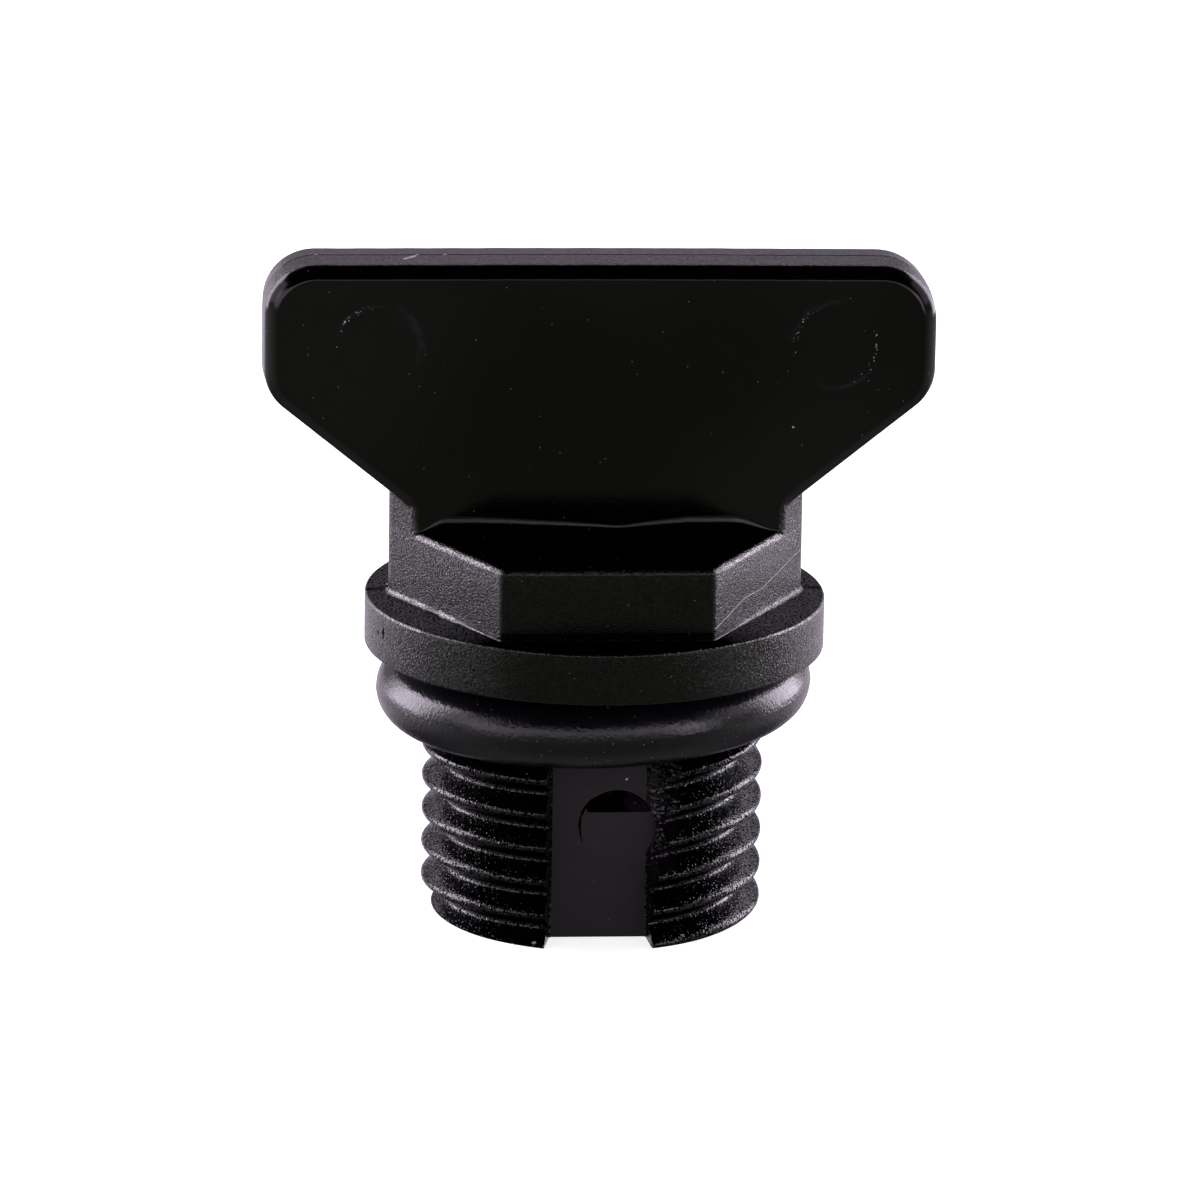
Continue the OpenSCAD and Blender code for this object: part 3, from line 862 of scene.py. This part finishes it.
def moulding_material(look):
    """Black moulded plastic.

    Eroded grain on the flanks, smoother wing faces, a duller slot, whitened nicks and dust, painted
    highlights on the pin marks' rims, and painted shade and highlights set through the gloss.
    """
    t = Tree("black_moulding")
    wing, shade_and_highlight = t.layer("smooth_skin"), t.layer("painted_shade_and_highlight")
    # lit: near the pocket's end its painted shade gives way to the slot's colour and some gloss
    lit = t.span(t.vector("DISTANCE", t.place, metres(POCKET_END)), 0.95 * MM, 0.6 * MM)
    slot = t.most(t.layer("slot_skin"), t.times(lit, t.times(shade_and_highlight, 0.6)))
    plain = t.math("SUBTRACT", 1.0, t.most(wing, slot))
    height = t.node("SeparateXYZ", {0: t.place}).outputs[2]
    thread = t.span(height, 0.0095, 0.0085)
    fine = t.noise(16000.0, 1.0, 0.5)
    coarse = t.noise(3300.0, 2.0, 0.55)
    beads = t.specks(7600.0, 0.85, 0.45, 0.0)
    cloud = t.noise(520.0, 3.0, 0.6, 0.5)
    dust = t.specks(1500.0, 0.012, 0.10)
    tiny = t.specks(5200.0, 0.03, 0.2)
    marks = t.most(dust, t.times(tiny, 0.5))
    nicks = 0.0
    for *place, size in NICKS:
        nicks = t.most(nicks, t.spot(place, size))
    for place, radius, towards in WORN_RINGS:
        worn = t.times(t.arc(place, radius, 0.12, towards), t.specks(11000.0, 0.30, 0.45))
        nicks = t.most(nicks, worn)
    for start, end, width in SCRATCHES:
        nicks = t.most(nicks, t.line(start, end, width))

    # colour
    body = t.mix(t.span(cloud, 0.3, 0.7), paint(look.moulding_color), paint(look.moulding_color, 2.2))
    body = t.mix(slot, body, paint(look.slot_color))
    # painted highlights along one side of each pin mark's rim
    for place, radius, width, towards in PIN_RIM_HIGHLIGHTS:
        rim_highlight = t.times(t.arc(place, radius, width, towards), t.span(coarse, 0.35, 0.65, 0.3, 1.0))
        body = t.mix(rim_highlight, body, paint(look.rim_highlight_color))
    body = t.mix(t.times(marks, 0.25), body, paint(look.scuff_color))
    body = t.mix(t.times(nicks, 0.8), body, paint(look.scuff_color))
    t.shine("Base Color", body)

    # roughness
    rough = t.blend(plain, t.blend(slot, 0.13, 0.42), t.blend(thread, 0.2, 0.1))
    rough = t.math("ADD", rough, t.span(coarse, 0.3, 0.7, -0.02, 0.04, False))
    rough = t.math("ADD", rough, t.times(t.most(marks, nicks), 0.3), clamp=True)
    t.shine("Roughness", rough)

    # relief
    grain = t.times(fine, t.blend(thread, 0.5, 0.12))
    grain = t.math("ADD", grain, t.times(coarse, 0.012))
    grain = t.math("ADD", grain, t.times(beads, t.blend(thread, 0.045, 0.25)))
    relief = t.times(grain, t.math("ADD", 0.06, t.times(plain, 0.94)))
    normal = t.bump(relief, 1.0, 0.00007)
    normal = t.bump(cloud, 0.15, 0.00008, normal)
    normal = t.bump(nicks, 0.6, 0.00006, normal)
    t.shine("Normal", normal)

    # gloss: none in the pores of the eroded skin and on faces with painted shade, raised on edges with
    # painted highlights
    shut = t.times(shade_and_highlight, t.math("SUBTRACT", 1.0, lit))
    gloss = t.math("MULTIPLY_ADD", shut, -0.5, 0.5, clamp=True)
    patch = t.span(t.noise(70.0, 1.0), 0.35, 0.65, 0.55, 0.85)
    skin = t.noise(11500.0, 1.0, 0.5)
    pores = t.span(skin, 0.38, 0.56)
    speckle = t.blend(t.math("GREATER_THAN", shade_and_highlight, 0.1), 1.0, t.span(skin, 0.43, 0.5))
    gloss = t.times(gloss, speckle)
    eroded = t.blend(thread, t.math("MULTIPLY_ADD", pores, 0.95, 0.4), pores)
    by_skin = t.times(t.blend(wing, 1.0, patch), t.blend(plain, 1.0, eroded))
    gloss = t.times(gloss, by_skin)
    t.shine("Specular IOR Level", gloss)
    t.shine("IOR", 1.5)
    return t.material


def rubber_material(look):
    """Black sealing rubber: a satin skin with faint flow marks round the ring, dust and lint."""
    t = Tree("ring_rubber")
    cloud = t.noise(700.0, 3.0, 0.55, 0.3)
    fine = t.noise(7000.0, 2.0, 0.6)
    dust = t.specks(2100.0, 0.03, 0.12)
    tiny = t.specks(6000.0, 0.10, 0.2)
    marks = t.most(dust, t.times(tiny, 0.5))
    paler = t.span(cloud, 0.3, 0.7, 0.0, 0.6)
    body = t.mix(paler, paint(look.rubber_color), paint(look.rubber_color, 1.6))
    body = t.mix(t.times(marks, 0.3), body, paint(look.scuff_color))
    t.shine("Base Color", body)
    rough = t.math("ADD", t.span(cloud, 0.3, 0.7, 0.19, 0.27, False), t.times(marks, 0.3))
    t.shine("Roughness", rough)
    relief = t.math("ADD", fine, t.times(marks, 0.5))
    t.shine("Normal", t.bump(relief, 0.5, 0.00004))
    t.shine("IOR", 1.5)
    return t.material


class PLUG_OT_moulding(bpy.types.Operator):
    """Build the one-piece moulding: wing plate, hex, collar, threaded shank, slot and pin marks"""

    bl_idname = "drain_plug.moulding"
    bl_label = "Moulding"

    def execute(self, context):
        s = context.scene.plug_sizes
        body = wing_surface(s)
        combine(body, "UNION", fillet_surface(s, 1), fillet_surface(s, -1), stack_surface(s))
        combine(body, "DIFFERENCE", slot_cutter(s))
        pin_z, floor_y, face_y = WING_TOP - PIN_DROP, -s.slot_floor, -s.wing_t / 2
        combine(
            body,
            "DIFFERENCE",
            pin_cutter(DISC_X, DISC_Z, floor_y, -0.02, 1.475, 31, ramp=0.17),
            pin_cutter(0.72, 4.46, floor_y, 0.1, 1.36, 31, 4.97, 0.7),
            groove_cutter(DISC_X, DISC_Z, floor_y + 0.05, 1.46, 0.17, 110, 205),
            pin_cutter(LEFT_PIN[0], pin_z, face_y, 0.03, LEFT_PIN_R, 33, ramp=0.06),
            pin_cutter(RIGHT_PIN[0], pin_z, face_y, 0.03, RIGHT_PIN_R, 35, ramp=0.04),
            pit_cutter((-8.31, -3.12, 11.68), (0.12, 0.10, 0.26)),
            pit_cutter((-8.48, -2.62, 11.55), (0.09, 0.08, 0.10)),
        )
        body.name = body.data.name = "plug_moulding"
        finish_regions(body.data, s)
        shade(body, SHARP_ANGLE)
        body.data.materials.clear()
        body.data.materials.append(moulding_material(context.scene.plug_finish))
        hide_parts("plug_body")
        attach(body, "root")
        return {"FINISHED"}


class PLUG_OT_ring(bpy.types.Operator):
    """Build the rubber sealing ring"""

    bl_idname = "drain_plug.ring"
    bl_label = "Sealing ring"

    def execute(self, context):
        """The ring's section, a circle with a faint moulding flash, is carried round the axis and tilted."""
        s = context.scene.plug_sizes
        section = s.ring_section / 2
        middle = s.crest_r - s.depth + s.ring_gap + section
        tilt = math.radians(s.ring_tilt)
        height = s.collar_low - s.ring_gap - section - middle * math.sin(tilt)
        u = np.linspace(0, 2 * np.pi, RING_TURNS, endpoint=False)[:, None]
        v = np.linspace(0, 2 * np.pi, RING_SIDES, endpoint=False)[None, :]
        lump = 0.006 * np.minimum(waver(3 * u + 2 * np.cos(v), 41) - 0.4, 0)
        flash = -0.012 * (1 - np.exp(-((np.sin(v) / 0.05) ** 2)))
        r = section + flash + lump
        out = middle + r * np.cos(v)
        x, y, z = out * np.cos(u), out * np.sin(u), r * np.sin(v) + 0 * u
        tilted_x = x * math.cos(tilt) - z * math.sin(tilt)
        tilted_z = x * math.sin(tilt) + z * math.cos(tilt) + height
        points = np.stack([tilted_x, y, tilted_z], -1).reshape(-1, 3)
        side, last = np.arange(RING_SIDES), (RING_TURNS - 1) * RING_SIDES
        after = (side + 1) % RING_SIDES
        wrap = np.stack([last + side, last + after, after, side], -1)
        ring = new_piece("sealing_ring", points, joined(grid_quads(RING_TURNS, RING_SIDES), wrap))
        smooth_faces(ring)
        ring.data.materials.append(rubber_material(context.scene.plug_finish))
        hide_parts("o_ring")
        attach(ring, "root")
        return {"FINISHED"}


def studio_world():
    """Light from all round, white to the camera.

    It is bright near the horizon at the back and sides, and dark overhead and low in front.
    """
    world = bpy.data.worlds.new("studio")
    bpy.context.scene.world = world
    world.use_nodes = True
    tree = world.node_tree
    t = Tree.__new__(Tree)
    t.tree = tree
    out = tree.nodes["World Output"]
    back = tree.nodes["Background"]
    way = t.node("TexCoord").outputs["Generated"]
    n = t.node("SeparateXYZ", {0: way})
    y, z = n.outputs[1], n.outputs[2]
    rear = t.span(y, -0.8, 0.85)
    fall = t.blend(rear, t.span(z, -0.75, -0.3, 0.75, 1.0), t.span(z, -0.62, -0.3, 0.02, 1.0))
    low = t.times(t.blend(rear, 0.19, 0.93), fall)
    above = t.span(z, 0.2, 0.38, 0.22, 0.92)
    behind = t.times(above, t.span(z, 0.92, 0.78))
    ahead = t.span(z, 0.5, 0.25, 0.0, 0.22)
    high = t.blend(t.span(y, 0.1, 0.85), ahead, behind)
    light = t.blend(t.span(z, -0.10, 0.02), low, high)
    t.give(back.inputs["Strength"], light)
    tint = t.mix(rear, (0.97, 1.0, 0.86, 1), (1.0, 0.9, 1.04, 1))
    t.give(back.inputs["Color"], tint)
    white = t.node("Background", {"Color": (1, 1, 1, 1), "Strength": 1.0})
    seen = t.node("LightPath").outputs["Is Camera Ray"]
    both = t.node("MixShader", {0: seen, 1: back.outputs[0], 2: white.outputs[0]})
    tree.links.new(both.outputs[0], out.inputs["Surface"])


def place_object(name, data, axes, place):
    """Object in the scene, turned to three axes."""
    obj = bpy.data.objects.new(name, data)
    bpy.context.scene.collection.objects.link(obj)
    matrix = np.eye(4)
    matrix[:3, :3] = np.array(axes).T
    matrix[:3, 3] = place
    obj.matrix_world = Matrix(matrix.tolist())
    return obj


def soft_box(name, azimuth, elevation, width, height, radiance):
    """A soft box that faces the plug, with its direction and its apparent size in degrees."""
    a, e = math.radians(azimuth), math.radians(elevation)
    way = np.array([math.sin(a) * math.cos(e), -math.cos(a) * math.cos(e), math.sin(e)])
    lamp = bpy.data.lights.new(name, "AREA")
    lamp.shape = "RECTANGLE"
    lamp.size = 2 * BOX_DISTANCE * math.tan(math.radians(width / 2))
    lamp.size_y = 2 * BOX_DISTANCE * math.tan(math.radians(height / 2))
    lamp.energy = radiance * math.pi * lamp.size * lamp.size_y
    lamp.color = BOX_TINT
    side = np.cross([0, 0, 1.0], way)
    side /= np.linalg.norm(side)
    place_object(name, lamp, (side, np.cross(way, side), way), np.array(PLUG_MIDDLE) + way * BOX_DISTANCE)


def studio_floor():
    """Pale floor that the plug stands on.

    It keeps the shadow, reads white to the camera and isn't mirrored in the plastic.
    """
    r = np.array([0.0, 0.05, 0.2, 2.0])[:, None] / MM
    a = np.radians(np.arange(0, 360, 5.0))
    drop = 0.002
    points = np.stack([r * np.cos(a), r * np.sin(a), 0 * r * a - drop], -1).reshape(-1, 3)
    floor = new_piece("studio_floor", points, grid_quads(len(r), len(a)))
    t = Tree("studio_floor")
    t.shine("Base Color", (0.86, 0.86, 0.86, 1))
    t.shine("Roughness", 0.9)
    t.shine("Specular IOR Level", 0.0)
    seen = t.node("LightPath").outputs["Is Camera Ray"]
    t.shine("Emission Color", (1, 1, 1, 1))
    t.shine("Emission Strength", t.times(seen, 0.78))
    floor.data.materials.append(t.material)
    floor.visible_glossy = False


def studio_camera():
    """Camera at the photograph's viewing angle, fitted to the outlines of collar, ring, thread and hex."""
    a, e, roll = CAMERA_AZIMUTH, CAMERA_ELEVATION, CAMERA_ROLL
    way = -np.array([math.sin(a) * math.cos(e), -math.cos(a) * math.cos(e), math.sin(e)])
    right = np.cross(way, [0, 0, 1.0])
    right /= np.linalg.norm(right)
    up = np.cross(right, way)
    turned_right = math.cos(roll) * right + math.sin(roll) * up
    turned_up = -math.sin(roll) * right + math.cos(roll) * up
    camera = bpy.data.cameras.new("studio_camera")
    camera.sensor_width = CAMERA_SENSOR
    camera.lens = CAMERA_LENS
    camera.clip_start = 0.01
    axes = (turned_right, turned_up, -way)
    obj = place_object("studio_camera", camera, axes, np.array(CAMERA_PLACE) * MM)
    bpy.context.scene.camera = obj


class PLUG_OT_studio(bpy.types.Operator):
    """Set up the floor, the soft light and the camera"""

    bl_idname = "drain_plug.studio"
    bl_label = "Studio"

    def execute(self, context):
        studio_world()
        studio_floor()
        for box in SOFT_BOXES:
            soft_box(*box)
        studio_camera()
        context.scene.view_settings.view_transform = "Standard"
        return {"FINISHED"}


class PLUG_PT_panel(bpy.types.Panel):
    """Sidebar panel of the drain plug's operators"""

    bl_idname = "PLUG_PT_panel"
    bl_label = "Drain plug"
    bl_space_type = "VIEW_3D"
    bl_region_type = "UI"
    bl_category = "Drain plug"

    def draw(self, context):
        for operator in OPERATORS:
            self.layout.operator(operator.bl_idname)
        for group in (context.scene.plug_sizes, context.scene.plug_finish):
            for name in group.__annotations__:
                self.layout.prop(group, name)


OPERATORS = (PLUG_OT_moulding, PLUG_OT_ring, PLUG_OT_studio)
CLASSES = (PlugSizes, PlugFinish, *OPERATORS, PLUG_PT_panel)


def register():
    for cls in CLASSES:
        bpy.utils.register_class(cls)
    bpy.types.Scene.plug_sizes = PointerProperty(type=PlugSizes)
    bpy.types.Scene.plug_finish = PointerProperty(type=PlugFinish)


def unregister():
    del bpy.types.Scene.plug_finish
    del bpy.types.Scene.plug_sizes
    for cls in reversed(CLASSES):
        bpy.utils.unregister_class(cls)


def main():
    register()
    bpy.ops.drain_plug.moulding()
    bpy.ops.drain_plug.ring()
    bpy.ops.drain_plug.studio()


if __name__ == "__main__":
    main()
